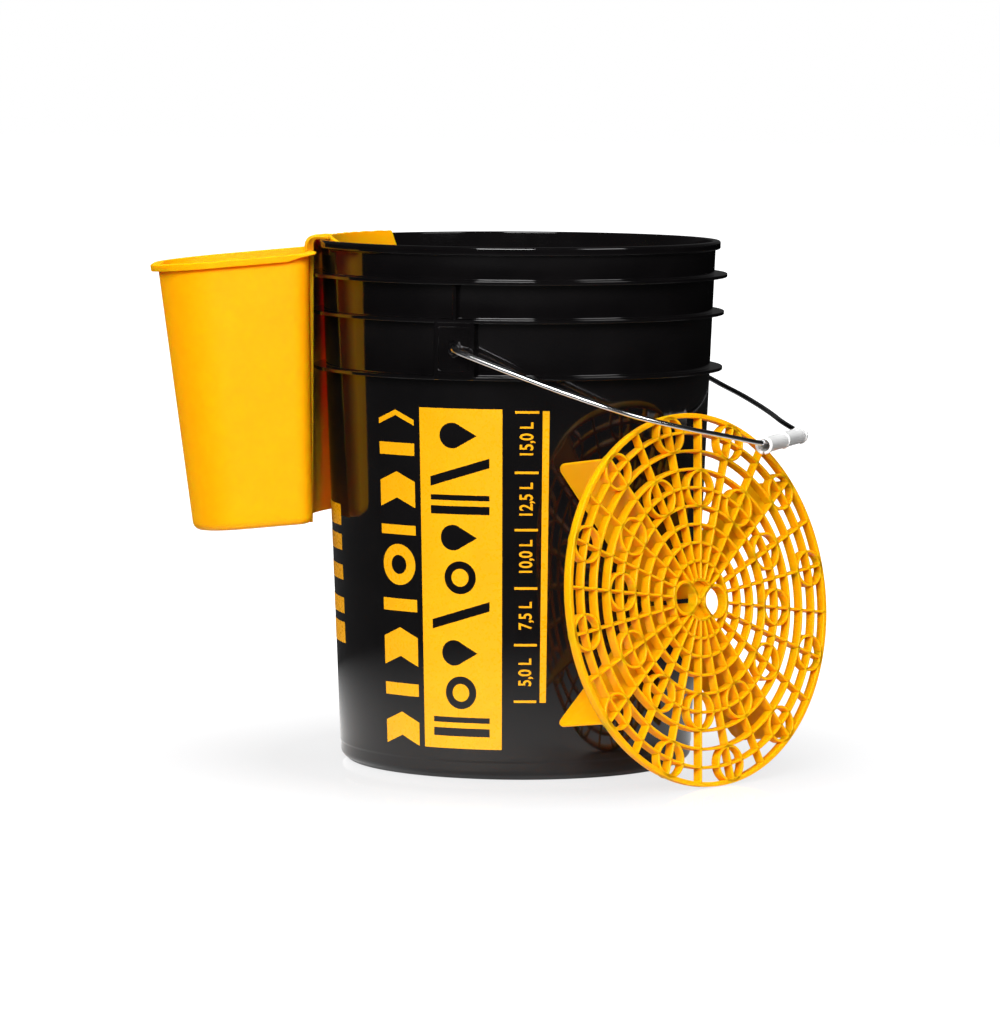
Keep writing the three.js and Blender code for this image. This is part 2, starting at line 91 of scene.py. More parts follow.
class Shape:
    """Points and faces that gather into one mesh."""

    def __init__(self):
        self.points = []
        self.faces = []

    def add(self, points, faces, matrix=None):
        base = len(self.points)
        self.points += [matrix @ Vector(p) if matrix else Vector(p) for p in points]
        self.faces += [[base + i for i in face] for face in faces]
        return self

    def loft(self, loops, matrix=None, start_cap=False, end_cap=False, wrap=False):
        """A skin over loops that have the same number of points."""
        n = len(loops[0])
        points = [p for loop in loops for p in loop]
        rows = len(loops)
        faces = []
        for j in range(rows if wrap else rows - 1):
            a, b = j * n, (j + 1) % rows * n
            faces += [[a + i, a + (i + 1) % n, b + (i + 1) % n, b + i] for i in range(n)]
        if start_cap:
            faces.append(list(range(n))[::-1])
        if end_cap:
            faces.append([(rows - 1) * n + i for i in range(n)])
        return self.add(points, faces, matrix)

    def turned(self, profile, segments, matrix=None, span=None):
        """A closed (radius, height) profile turned about Z, all round or over a span of angles."""
        start, end = span or (0, TURN)
        count = segments + 1 if span else segments
        loops = []
        for i in range(count):
            a = start + (end - start) * i / segments
            loops.append([(r * math.cos(a), r * math.sin(a), z) for r, z in profile])
        return self.loft(loops, matrix, start_cap=bool(span), end_cap=bool(span), wrap=not span)

    def prism(self, outline, low, high, matrix=None):
        loops = [[(x, y, z) for x, y in outline] for z in (low, high)]
        return self.loft(loops, matrix, start_cap=True, end_cap=True)

    def bar(self, length, front, back, depth, chamfer, matrix=None):
        """A rib along X from 0 to length, its front at z = 0, wider at its back."""
        section = [(-back / 2, -depth), (back / 2, -depth), (front / 2, -chamfer),
                   (front / 2 - chamfer, 0), (-front / 2 + chamfer, 0), (-front / 2, -chamfer)]
        loops = [[(x, y, z) for y, z in section] for x in (0, length)]
        return self.loft(loops, matrix, start_cap=True, end_cap=True)

    def piece(self, name, material, body, slot=None, nodes=(), crease=32):
        mesh = bpy.data.meshes.new(name)
        mesh.from_pydata([p * MM for p in self.points], [], self.faces)
        bm = bmesh.new()
        bm.from_mesh(mesh)
        bmesh.ops.remove_doubles(bm, verts=bm.verts, dist=1e-7)
        bmesh.ops.dissolve_degenerate(bm, edges=bm.edges, dist=1e-7)
        bmesh.ops.recalc_face_normals(bm, faces=bm.faces)
        for face in bm.faces:
            face.smooth = True
        for edge in bm.edges:
            edge.smooth = edge.calc_face_angle(math.pi) < rad(crease)
        bm.to_mesh(mesh)
        bm.free()
        mesh.materials.append(material)
        obj = bpy.data.objects.new(name, mesh)
        bpy.context.scene.collection.objects.link(obj)
        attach(obj, body)
        if nodes:
            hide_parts(*nodes)
        return obj


# ---- materials -------------------------------------------------------------------------------
class Look:
    """A node material built up from noise layers."""

    def __init__(self, name, color, roughness, **sockets):
        self.material = bpy.data.materials.new(name)
        self.material.use_nodes = True
        self.tree = self.material.node_tree
        self.shader = self.tree.nodes["Principled BSDF"]
        self.shader.inputs["Base Color"].default_value = (*color, 1)
        self.shader.inputs["Roughness"].default_value = roughness
        for key, value in sockets.items():
            self.shader.inputs[key.replace("_", " ")].default_value = value
        self.place = self.tree.nodes.new("ShaderNodeTexCoord").outputs["Object"]
        self.normal = None

    def noise(self, scale, detail=4.0, stretch=(1, 1, 1), roughness=0.55):
        mapping = self.tree.nodes.new("ShaderNodeMapping")
        mapping.inputs["Scale"].default_value = stretch
        self.tree.links.new(self.place, mapping.inputs["Vector"])
        node = self.tree.nodes.new("ShaderNodeTexNoise")
        node.inputs["Scale"].default_value = scale
        node.inputs["Detail"].default_value = detail
        node.inputs["Roughness"].default_value = roughness
        self.tree.links.new(mapping.outputs["Vector"], node.inputs["Vector"])
        return node.outputs["Fac"]

    def ramp(self, value, low, high, start=0.3, end=0.7):
        node = self.tree.nodes.new("ShaderNodeMapRange")
        node.inputs["From Min"].default_value = start
        node.inputs["From Max"].default_value = end
        node.inputs["To Min"].default_value = low
        node.inputs["To Max"].default_value = high
        self.tree.links.new(value, node.inputs["Value"])
        return node.outputs["Result"]

    def tint(self, value, low, high, start=0.3, end=0.7):
        """Base colour between two colours."""
        mix = self.tree.nodes.new("ShaderNodeMix")
        mix.data_type = "RGBA"
        mix.inputs[6].default_value = (*low, 1)
        mix.inputs[7].default_value = (*high, 1)
        self.tree.links.new(self.ramp(value, 0, 1, start, end), mix.inputs[0])
        self.tree.links.new(mix.outputs[2], self.shader.inputs["Base Color"])
        return self

    def rough(self, value, low, high):
        self.tree.links.new(self.ramp(value, low, high), self.shader.inputs["Roughness"])
        return self

    def bump(self, value, strength, distance):
        node = self.tree.nodes.new("ShaderNodeBump")
        node.inputs["Strength"].default_value = strength
        node.inputs["Distance"].default_value = distance
        self.tree.links.new(value, node.inputs["Height"])
        if self.normal:
            self.tree.links.new(self.normal, node.inputs["Normal"])
        self.normal = node.outputs["Normal"]
        self.tree.links.new(self.normal, self.shader.inputs["Normal"])
        return self


def black_plastic():
    look = Look("gloss_black", (0.003, 0.0028, 0.003), 0.09)
    look.tint(look.noise(26), (0.0024, 0.0022, 0.0024), (0.0038, 0.0034, 0.0036))
    look.rough(look.noise(90, 6, (1, 1, 0.15)), 0.05, 0.1)
    look.bump(look.noise(9, 2, (1, 1, 0.6)), 0.06, 0.0006)
    look.bump(look.noise(900, 3, (1, 1, 0.04)), 0.03, 0.00008)
    return look.material


def yellow_plastic(name, color, roughness, grain):
    look = Look(name, color, roughness)
    darker = (color[0] * 0.98, color[1] * 0.975, color[2])
    lighter = (color[0], color[1] * 1.02, color[2])
    look.tint(look.noise(34, 5), darker, lighter)
    look.rough(look.noise(210, 6), roughness * 0.82, roughness * 1.2)
    look.bump(look.noise(16, 2), 0.08, 0.0006)
    look.bump(look.noise(grain, 4), 0.12, 0.00006)
    look.shader.inputs["Specular IOR Level"].default_value = 0.14
    look.shader.inputs["Subsurface Weight"].default_value = 0.5
    look.shader.inputs["Subsurface Radius"].default_value = (1.0, 0.25, 0.02)
    look.shader.inputs["Subsurface Scale"].default_value = 0.01
    return look.material


def print_ink():
    look = Look("screen_print", (0.8, 0.42, 0.003), 0.35)
    look.tint(look.noise(48, 5), (0.78, 0.35, 0.002), (0.84, 0.38, 0.004))
    look.rough(look.noise(400, 5), 0.22, 0.38)
    look.bump(look.noise(1500, 2), 0.1, 0.00004)
    return look.material


def zinc_wire():
    look = Look("bright_zinc", (0.78, 0.79, 0.81), 0.14, Metallic=1.0)
    look.tint(look.noise(120, 5), (0.7, 0.71, 0.73), (0.86, 0.865, 0.88))
    look.rough(look.noise(300, 6), 0.12, 0.18)
    look.bump(look.noise(700, 3), 0.03, 0.00003)
    return look.material


def grip_plastic():
    look = Look("frosted_white", (0.88, 0.88, 0.87), 0.32)
    look.shader.inputs["Transmission Weight"].default_value = 0.1
    look.tint(look.noise(70, 4), (0.86, 0.86, 0.855), (0.9, 0.9, 0.895))
    look.rough(look.noise(240, 5), 0.3, 0.42)
    look.bump(look.noise(500, 4), 0.06, 0.00004)
    return look.material


BLACK = black_plastic()
INK = print_ink()
WIRE = zinc_wire()
GRIP = grip_plastic()
GUARD = yellow_plastic("guard_plastic", (0.97, 0.385, 0.001), 0.38, 700)
CADDY = yellow_plastic("caddy_plastic", (0.97, 0.385, 0.001), 0.4, 1100)

# ---- bucket ----------------------------------------------------------------------------------
bucket_low, bucket_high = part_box("bucket_shell")
BUCKET_HEIGHT = (bucket_high[2] - bucket_low[2]) / MM
BASE_RADIUS = 130.6
TOP_RADIUS = 146.5
WALL = 2.2
FLOOR_TOP = 5.5
RIM_RADIUS = 149.95
RIM_BAND = 6.2
# (edge radius, middle height) of each stacking flange.
FLANGES = [(152, 292.6), (153, 333.6), (155.2, 361.2)]
FLANGE_HALF = 1.3
BASE_RIBS = 8
EAR_HEIGHT = frame["record"]["behaviour"]["joints"][0]["pos_m"][2] / MM


def wall_radius(height):
    return BASE_RADIUS + (TOP_RADIUS - BASE_RADIUS) * height / BUCKET_HEIGHT


def bucket_profile():
    """(radius, height, fillet) corners of the shell's section, from the middle of the base."""
    step = wall_radius(14) - 0.6
    corners = [(0, 0.6, 0), (29, 0.6, 0.5), (30, 2.4, 0.6), (112.5, 2.4, 0.8), (113, 0.02, 0.8),
               (125.2, 0.02, 2.5), (step, 4.6, 5), (step, 12.6, 0.8), (wall_radius(14.2), 14.2, 0.8)]
    for radius, height in FLANGES:
        low, high = height - FLANGE_HALF, height + FLANGE_HALF
        corners += [(wall_radius(low), low, 0.9), (radius - 0.2, low, 0.5),
                    (radius - 0.1, high, 0.5), (wall_radius(high), high, 0.9)]
    under = BUCKET_HEIGHT - RIM_BAND
    corners += [(wall_radius(under), under, 0.8), (RIM_RADIUS - 0.05, under + 0.1, 1.1),
                (RIM_RADIUS, BUCKET_HEIGHT, 1.6),
                (wall_radius(BUCKET_HEIGHT) - WALL, BUCKET_HEIGHT, 1.0)]
    for height in (360, 300, 240, 180, 120, 60):
        corners.append((wall_radius(height) - WALL, height, 0))
    corners += [(wall_radius(FLOOR_TOP) - WALL, FLOOR_TOP, 8), (60, FLOOR_TOP, 2),
                (58, FLOOR_TOP - 0.4, 1), (0, FLOOR_TOP - 0.4, 0)]
    return corners


def rounded_box(width, height, radius, count):
    """count points round a rounded rectangle, starting at its right-hand middle."""
    outline = filleted([(width / 2, -height / 2, radius), (width / 2, height / 2, radius),
                        (-width / 2, height / 2, radius), (-width / 2, -height / 2, radius)], 6)
    outline.append(outline[0])
    points = []
    for i in range(count):
        a = TURN * i / count
        ray = Vector((math.cos(a), math.sin(a)))
        best = None
        for (x0, y0), (x1, y1) in zip(outline, outline[1:]):
            cross = ray.x * (y1 - y0) - ray.y * (x1 - x0)
            if abs(cross) < 1e-12:
                continue
            t = (x0 * (y1 - y0) - y0 * (x1 - x0)) / cross
            s = (x0 * ray.y - y0 * ray.x) / cross
            if t > 0 and -1e-9 <= s <= 1 + 1e-9:
                best = t if best is None else max(best, t)
        points.append((ray.x * best, ray.y * best))
    return points


def oval(width, height, count):
    return [(width / 2 * math.cos(TURN * i / count), height / 2 * math.sin(TURN * i / count))
            for i in range(count)]


def add_ear(shape, turn):
    """The pad, its shallow recess, the ringed hole and the rib above it."""
    count = 96
    lower, middle, upper = [height for _, height in FLANGES]
    drop = (lower + middle) / 2 - EAR_HEIGHT
    height = middle - lower + 2 * FLANGE_HALF
    spin = Matrix.Rotation(turn, 4, "Z")

    def ring(outline, reach, shift=0.0):
        return [(x, -reach, EAR_HEIGHT + shift + z) for x, z in outline]

    # From the pad's root over its face, down to the recess, over the boss and into the hole.
    loops = [
        ring(rounded_box(30.4, height, 1.2, count), 141.5, drop),
        ring(rounded_box(30.4, height, 1.2, count), 151.5, drop),
        ring(rounded_box(29.7, height - 0.7, 1.2, count), 152.05, drop),
        ring(rounded_box(29.0, height - 1.4, 1.2, count), 152.2, drop),
        ring(rounded_box(28.4, height - 2.0, 1.2, count), 152.2, drop),
        ring(rounded_box(24.2, 33.2, 1.6, count), 152.2, -1),
        ring(rounded_box(23.6, 32.6, 1.6, count), 152.2, -1),
        ring(rounded_box(23.2, 32.2, 1.5, count), 152.0, -1),
        ring(rounded_box(22.6, 31.6, 1.4, count), 151.45, -1),
        ring(rounded_box(22.0, 31.0, 1.3, count), 151.35, -1),
        ring(rounded_box(21.4, 30.4, 1.2, count), 151.35, -1),
        ring(oval(11.2, 14.8, count), 151.35),
        ring(oval(10.4, 14.0, count), 151.35),
        ring(oval(9.8, 13.3, count), 151.7),
        ring(oval(9.3, 12.7, count), 152.5),
        ring(oval(8.7, 12.1, count), 152.85),
        ring(oval(7.6, 10.9, count), 152.9),
        ring(oval(6.8, 9.9, count), 152.4),
        ring(oval(6.5, 8.2, count), 151.6),
        ring(oval(5.6, 6.0, count), 151.5),
        ring(oval(4.8, 4.9, count), 151.1),
        ring(oval(4.7, 4.7, count), 146.0),
        ring(oval(0.1, 0.1, count), 145.8),
    ]
    shape.loft(loops, spin, start_cap=True, end_cap=True)
    rib = filleted([(-1.3, 0, 0), (1.3, 0, 0), (1.15, 8.8, 0.5), (-1.15, 8.8, 0.5)], 3)
    shape.loft([[(x, -143 - y, z) for x, y in rib] for z in (middle, upper)],
               spin, start_cap=True, end_cap=True)


shell = Shape()
shell.turned(filleted(bucket_profile(), 8, closed=False), 192)
for turn in (0, math.pi):
    add_ear(shell, turn)
# Ribs under the base, from the inner ring to the foot.
rib_section = [(-2, 0.3), (-1.6, 0), (1.6, 0), (2, 0.3), (2, 3), (-2, 3)]
for k in range(BASE_RIBS):
    place = Matrix.Rotation((k + 0.5) * TURN / BASE_RIBS, 4, "Z") @ Matrix.Translation((28, 0, 0.25))
    shell.loft([[(x, y, z) for y, z in rib_section] for x in (0, 86)],
               place, start_cap=True, end_cap=True)
shell.piece("bucket_body", BLACK, "bucket", "bucket_black", ["bucket_shell"])


# ---- print on the wall -----------------------------------------------------------------------
# x is an angle in degrees from the middle of the front, y a height.
GRAPHIC_LOW, GRAPHIC_HIGH = 22.7, 270.3
COLUMN_LEFT, COLUMN_RIGHT = -45.3, -32.0
PANEL_LEFT, PANEL_RIGHT = -30.0, -4.4
CUT_LEFT, CUT_MIDDLE, CUT_RIGHT = -26.6, -17.4, -8.2
STRIPE_LEFT, STRIPE_RIGHT = -112, -69.8
TICK_LEFT, TICK_RIGHT = -0.7, 6.3
RULE_LEFT, RULE_RIGHT = 7.35, 9.35
FIGURE_SIZE = 13.2
# Millimetres of wall to a degree round it.
DEGREE = 2.4
PRINT_LIFT = 0.13
PRINT_SINK = 0.2
PRINT_STRIP = 1.2


class Ink:
    """Flat outlines that are cut into strips and wrapped round the wall."""

    def __init__(self):
        self.bm = bmesh.new()

    def fill(self, outer, *holes):
        loops = [[Vector((x, y, 0)) for x, y in loop] for loop in (outer, *holes)]
        verts = [self.bm.verts.new(p) for loop in loops for p in loop]
        for tri in tessellate_polygon(loops):
            try:
                self.bm.faces.new([verts[i] for i in tri])
            except ValueError:
                continue

    def text(self, words, x, y, size, squeeze):
        """Upright figures turned a quarter left, their baseline along the height axis."""
        curve = bpy.data.curves.new("figures", "FONT")
        curve.body = words
        curve.size = size
        curve.offset = size * 0.018
        curve.align_x = "CENTER"
        curve.align_y = "CENTER"
        obj = bpy.data.objects.new("figures", curve)
        bpy.context.scene.collection.objects.link(obj)
        bpy.context.view_layer.update()
        mesh = bpy.data.meshes.new_from_object(obj)
        base = [self.bm.verts.new((x - v.co.y / DEGREE, y + v.co.x * squeeze, 0))
                for v in mesh.vertices]
        for polygon in mesh.polygons:
            self.bm.faces.new([base[i] for i in polygon.vertices])
        bpy.data.objects.remove(obj)
        bpy.data.meshes.remove(mesh)
        bpy.data.curves.remove(curve)

    def piece(self, name):
        bm = self.bm
        bmesh.ops.triangulate(bm, faces=bm.faces)
        left = min(v.co.x for v in bm.verts)
        right = max(v.co.x for v in bm.verts)
        x = left + PRINT_STRIP
        while x < right:
            bmesh.ops.bisect_plane(bm, geom=bm.verts[:] + bm.edges[:] + bm.faces[:], dist=1e-5,
                                   plane_co=(x, 0, 0), plane_no=(1, 0, 0))
            x += PRINT_STRIP
        bmesh.ops.remove_doubles(bm, verts=bm.verts, dist=1e-4)
        up = bmesh.ops.extrude_face_region(bm, geom=bm.faces[:])
        top = {v for v in up["geom"] if isinstance(v, bmesh.types.BMVert)}
        shape = Shape()
        for i, v in enumerate(bm.verts):
            v.index = i
            radius = wall_radius(v.co.y) + (PRINT_LIFT if v in top else -PRINT_SINK)
            a = rad(v.co.x - 90) + LOOK_TURN
            shape.points.append(Vector((radius * math.cos(a), radius * math.sin(a), v.co.y)))
        shape.faces = [[v.index for v in face.verts] for face in bm.faces]
        bm.free()
        return shape.piece(name, INK, "bucket", crease=60)


def drop(x, y, size):
    """A water drop, its point to the right."""
    width = size / DEGREE
    points = []
    for i in range(25):
        a = rad(50) + rad(260) * i / 24
        points.append((x - width * 0.25 + width * math.cos(a) * 0.72,
                       y + size * 0.72 * math.sin(a)))
    points.append((x + width * 1.15, y))
    return points


def disc(x, y, size, count=32):
    return [(x + size / DEGREE * math.cos(TURN * i / count), y + size * math.sin(TURN * i / count))
            for i in range(count)]


def chevron(x0, x1, y, rise, tall):
    middle = (x0 + x1) / 2
    return [(x0, y), (middle, y + rise), (x1, y),
            (x1, y + tall), (middle, y + rise + tall), (x0, y + tall)]


def box(x0, y0, x1, y1):
    return [(x0, y0), (x1, y0), (x1, y1), (x0, y1)]


ink = Ink()
# A column of chevrons and bars, each at (height above the graphic's foot, height that it takes).
figures = [(0, 26), (36, 14), (58, 30), (98, 14), (122, 22), (154, 12), (174, 28), (212, 14), (234, 13)]
for k, (start, tall) in enumerate(figures):
    low = GRAPHIC_LOW + start
    if k % 2:
        ink.fill(box(COLUMN_LEFT, low, COLUMN_RIGHT, low + tall - 5))
    elif k == 4:
        ink.fill(disc(-38.6, low + 10, 15), disc(-38.6, low + 10, 7))
    else:
        ink.fill(chevron(COLUMN_LEFT, COLUMN_RIGHT, low, 7, tall - 9))
# A panel with drops, rings, slashes and bars left open in it.
cuts = []
rings = []
y = GRAPHIC_LOW + 9
for kind in ("bars", "ring", "drop", "slash", "ring", "drop", "bars", "slash", "drop"):
    if kind == "bars":
        cuts += [box(CUT_LEFT, y, CUT_RIGHT, y + 6), box(CUT_LEFT, y + 10, CUT_RIGHT, y + 14)]
        y += 20
    elif kind == "ring":
        cuts.append(disc(CUT_MIDDLE, y + 12, 12))
        rings.append(disc(CUT_MIDDLE, y + 12, 6.5))
        y += 30
    elif kind == "drop":
        cuts.append(drop(-18.2, y + 11, 13))
        y += 28
    else:
        cuts.append([(CUT_LEFT, y), (CUT_RIGHT, y + 14), (CUT_RIGHT, y + 21), (CUT_LEFT, y + 7)])
        y += 26
ink.fill(box(PANEL_LEFT, GRAPHIC_LOW, PANEL_RIGHT, GRAPHIC_HIGH), *cuts)
for ring in rings:
    ink.fill(ring)
# Short stripes round the left side.
for low, high in ((89.8, 105.3), (111.9, 123.7), (137, 148), (159.1, 170.9), (177.5, 193)):
    ink.fill(box(STRIPE_LEFT, low, STRIPE_RIGHT, high))
# The graduation: a rule, ticks and litres.
ink.fill(box(RULE_LEFT, 57.3, RULE_RIGHT, 269.2))
marks = [(58.2, None), (99.5, "5,0 L"), (140.8, "7,5 L"), (183.2, "10,0 L"), (224.7, "12,5 L"),
         (268.3, "15,0 L")]
for height, words in marks:
    ink.fill(box(TICK_LEFT, height - 0.9, TICK_RIGHT, height + 0.9))
    if words:
        ink.text(words, 2.9, height - 20, FIGURE_SIZE, 0.78)
ink.piece("wall_print")

# ---- bail and grip ---------------------------------------------------------------------------
DROOP = rad(18.8)
REACH = 215
WIRE_RADIUS = 1.9
# (distance along the hinge's axis, reach from it), from an ear to the grip.
EAR_END = [(146.4, 0), (150, 0), (153.5, 0.25), (157.5, 1.2), (161.4, 4.6), (163.4, 12)]
NEAR_HALF = [*EAR_END, (164.1, 30), (164.1, 60), (163, 86), (159.5, 108), (154, 128), (145.5, 144.5),
             (131, 160.5), (114, 175.3), (96, 188), (79, 200.5), (69, 208.5), (62, 213.2), (55, REACH),
             (30, REACH), (0, REACH)]
FAR_HALF = [*EAR_END, (163, 30), (161.5, 60), (156, 86), (147.5, 105), (138.5, 119), (130, 130.5),
            (119.5, 147), (108.4, 160.3), (94.8, 174), (82, 184.8), (71.5, 192.5), (63.5, 199.5),
            (57.5, 206), (52.5, 211.5), (47.5, 214.4), (41, REACH), (20, REACH)]


def bail_point(along, reach):
    return Vector((reach * math.cos(DROOP), along, EAR_HEIGHT - reach * math.sin(DROOP)))


def smooth_path(points, steps):
    """A Catmull-Rom curve through the points."""
    ends = [points[0] * 2 - points[1], *points, points[-1] * 2 - points[-2]]
    path = []
    for a, b, c, d in zip(ends, ends[1:], ends[2:], ends[3:]):
        for k in range(steps):
            t = k / steps
            path.append(((b * 2) + (c - a) * t + (a * 2 - b * 5 + c * 4 - d) * t * t
                         + (b * 3 - a - c * 3 + d) * t ** 3) / 2)
    return [*path, points[-1]]


def tube(shape, path, radius, sides):
    loops = []
    side = Vector((math.sin(DROOP), 0, math.cos(DROOP)))
    for i, p in enumerate(path):
        along = (path[min(i + 1, len(path) - 1)] - path[max(i - 1, 0)]).normalized()
        across = side - along * side.dot(along)
        across.normalize()
        third = along.cross(across)
        loops.append([p + across * radius * math.cos(TURN * k / sides)
                      + third * radius * math.sin(TURN * k / sides) for k in range(sides)])
    shape.loft(loops, start_cap=True, end_cap=True)


near = [bail_point(-along, reach) for along, reach in NEAR_HALF]
far = [bail_point(along, reach) for along, reach in FAR_HALF[::-1]]
wire = Shape()
tube(wire, smooth_path([*near, *far], 6), WIRE_RADIUS, 20)
wire.piece("bail_rod", WIRE, "bail", "bail_steel", ["bail_wire"])

GRIP_LENGTH = 104
GRIP_OFFSET = -1
# The tube hangs from the wire by the top of its bore.
GRIP_SAG = Vector((0, 0, -2.2))
BORE = 4.3
BODY, COLLAR = 5.7, 6.55
half = GRIP_LENGTH / 2
grip_corners = [(BORE, -half, 0.4), (6.0, -half, 0.6), (COLLAR, -half + 0.8, 0.6),
                (COLLAR, -half + 3, 0.6), (BODY + 0.05, -half + 3.6, 0.8), (BODY, -1.9, 0.6),
                (6.5, -1.5, 0.5), (6.5, 1.5, 0.5), (BODY, 1.9, 0.6), (BODY + 0.05, half - 3.6, 0.8),
                (COLLAR, half - 3, 0.6), (COLLAR, half - 0.8, 0.6), (6.0, half, 0.6), (BORE, half, 0.4)]
slit = rad(16)
grip = Shape()
grip_place = Matrix.Translation(bail_point(GRIP_OFFSET, REACH) + GRIP_SAG) @ Matrix(
    ((0, 1, 0, 0), (0, 0, -1, 0), (-1, 0, 0, 0), (0, 0, 0, 1)))
grip.turned(filleted(grip_corners, 3), 48, grip_place, (slit / 2, TURN - slit / 2))
grip.piece("grip_tube", GRIP, "bail_grip", "grip_white", ["grip"])

# ---- grit guard ------------------------------------------------------------------------------
FACING, LEAN, GUARD_TURN = rad(-27.1), rad(8.4), rad(-8.2)
RIM_OUTSIDE = 134.65
GUARD_DEPTH = 7.0
SPOKES = 24
HUB_RADIUS = 14.2
RINGS = [28 + 13.25 * k for k in range(8)]
facing = Vector((math.cos(LEAN) * math.cos(FACING), math.cos(LEAN) * math.sin(FACING),
                 math.sin(LEAN)))
across = Vector((-math.sin(FACING), math.cos(FACING), 0))
tilt = Matrix((across, facing.cross(across), facing)).transposed().to_4x4()
guard_low, guard_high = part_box("guard_grille")
guard_middle = (Vector(guard_low) + Vector(guard_high)) / 2 / MM
# The grille's face stands this far in front of the middle of its box.
FACE_OFFSET = 2.9
GUARD_PLACE = (Matrix.Translation(guard_middle + facing * FACE_OFFSET) @ tilt
               @ Matrix.Rotation(GUARD_TURN, 4, "Z"))


def hoop(shape, x, y, radius, width, depth, segments, back=0.5):
    """A round rib with its front edges eased and a little draft."""
    profile = [(radius - width / 2 - back / 2, -depth), (radius + width / 2 + back / 2, -depth),
               (radius + width / 2, -0.35), (radius + width / 2 - 0.35, 0),
               (radius - width / 2 + 0.35, 0), (radius - width / 2, -0.35)]
    shape.turned(profile, segments, Matrix.Translation((x, y, 0)) if x or y else None)


def spoke(shape, angle, start, end, width=1.7):
    place = Matrix.Rotation(angle, 4, "Z") @ Matrix.Translation((start, 0, 0))
    shape.bar(end - start, width, width + 0.6, GUARD_DEPTH, 0.35, place)


grille = Shape()
rim = filleted([(131.5, -GUARD_DEPTH, 0.3), (133.7, -GUARD_DEPTH, 0.5), (RIM_OUTSIDE, -4.4, 1.5),
                (RIM_OUTSIDE, 0, 0.5), (131.2, 0, 0.4), (131.2, -1, 0)], 3)
grille.turned(rim, 192)
for k, radius in enumerate(RINGS):
    hoop(grille, 0, 0, radius, 1.9, GUARD_DEPTH, 96 if k < 3 else 144)
for k in range(SPOKES):
    spoke(grille, k * TURN / SPOKES, 27.2, 132.4)
for k in range(SPOKES):
    if min(abs(k * 15 - 90), abs(k * 15 - 270)) < 40:
        spoke(grille, k * TURN / SPOKES, HUB_RADIUS, 28.4)
for flip in (0, math.pi):
    grille.turned([(13.4, -GUARD_DEPTH), (15.6, -GUARD_DEPTH), (15.5, -0.35), (15.15, 0), (13.85, 0),
                   (13.5, -0.35)], 20, None, (flip + rad(47), flip + rad(133)))
for reach, start, radius in ((120.4, 15, 12.6), (80.5, 0, 13.0)):
    for k in range(12):
        a = rad(start + 30 * k)
        hoop(grille, reach * math.cos(a), reach * math.sin(a), radius, 1.8, GUARD_DEPTH - 0.2, 48)
for side in (-1, 1):
    hoop(grille, side * 15.5, 0, 11.6, 2.2, 8.4, 48, back=0.2)
for k in range(4):
    a = rad(45 + 90 * k)
    spoke(grille, a, 0, 28.2, 2.0)
# A web closes the hub behind its cross, round the two finger holes.
for flip in (1, -1):
    outline = [(0, flip * 1.5)] + [(x, flip * y) for x, y in arc(
        0, 0, 14.3, rad(128), rad(52), 8)]
    grille.prism(outline, -GUARD_DEPTH, -4.6)
grille.points = [GUARD_PLACE @ p for p in grille.points]
grille.piece("guard_disc", GUARD, "guard", "guard_yellow", ["guard_grille"])

FIN_OUTLINE = [(3.5, -7.3, 0), (133, -7.3, 0), (133, -54, 8), (3.5, -54, 1.5)]
for index, name in enumerate("abcd"):
    fin = Shape()
    outline = filleted(FIN_OUTLINE, 6)
    stand = GUARD_PLACE @ Matrix.Rotation((index + 0.5) * TURN / 4, 4, "Z")
    loops = []
    for offset, inset in ((-1.0, 0.45), (-0.7, 0.1), (-0.5, 0), (0.5, 0), (0.7, 0.1), (1.0, 0.45)):
        loops.append([(x - math.copysign(inset, x - 60), offset,
                       z + (inset if z < -30 else 0)) for x, z in outline])
    fin.loft(loops, stand, start_cap=True, end_cap=True)
    fin.piece("guard_blade_" + name, GUARD, "guard", "guard_yellow", ["guard_fin_" + name])

# ---- caddy -----------------------------------------------------------------------------------
BEARING, TILT = rad(197.6), rad(5.3)
LIP_DROP = 8
INNER, OUTER, HALF_WIDTH, DEPTH = 3.5, 117, 64.5, 198.6
CORNER, INNER_CORNER = 46, 13
DRAFT_INNER, DRAFT_OUTER, DRAFT_SIDE = rad(4.4), rad(2.4), rad(1.2)
BACK_INSIDE, BACK_OUTSIDE = 155.8, 158.4
CADDY_PLACE = Matrix.Rotation(BEARING, 4, "Z")
BASKET_WALL = 2.2
SKIRT = 5
# The basket's own X starts this far from the bucket's axis.
BASKET_REACH = 150


def basket_plan(grow, near_corner):
    far = CORNER + grow
    x0, x1, w = INNER - grow, OUTER + grow, HALF_WIDTH + grow
    points = [*arc(x1 - far, w - far, far, 0, math.pi / 2, 14)]
    side = [(x1 - far, w), (x0 + near_corner, w)]
    points += [(side[0][0] + (side[1][0] - side[0][0]) * k / 8, w) for k in range(1, 8)]
    points += arc(x0 + near_corner, w - near_corner, near_corner, math.pi / 2, math.pi, 6)
    run = w - near_corner
    points += [(x0, run - 2 * run * k / 40) for k in range(1, 40)]
    points += arc(x0 + near_corner, -w + near_corner, near_corner, math.pi, 1.5 * math.pi, 6)
    points += [(side[1][0] + (side[0][0] - side[1][0]) * k / 8, -w) for k in range(1, 8)]
    points += arc(x1 - far, -w + far, far, 1.5 * math.pi, TURN, 14)
    points += [(x1, (-w + far) * (1 - 2 * k / 6)) for k in range(1, 6)]
    return points


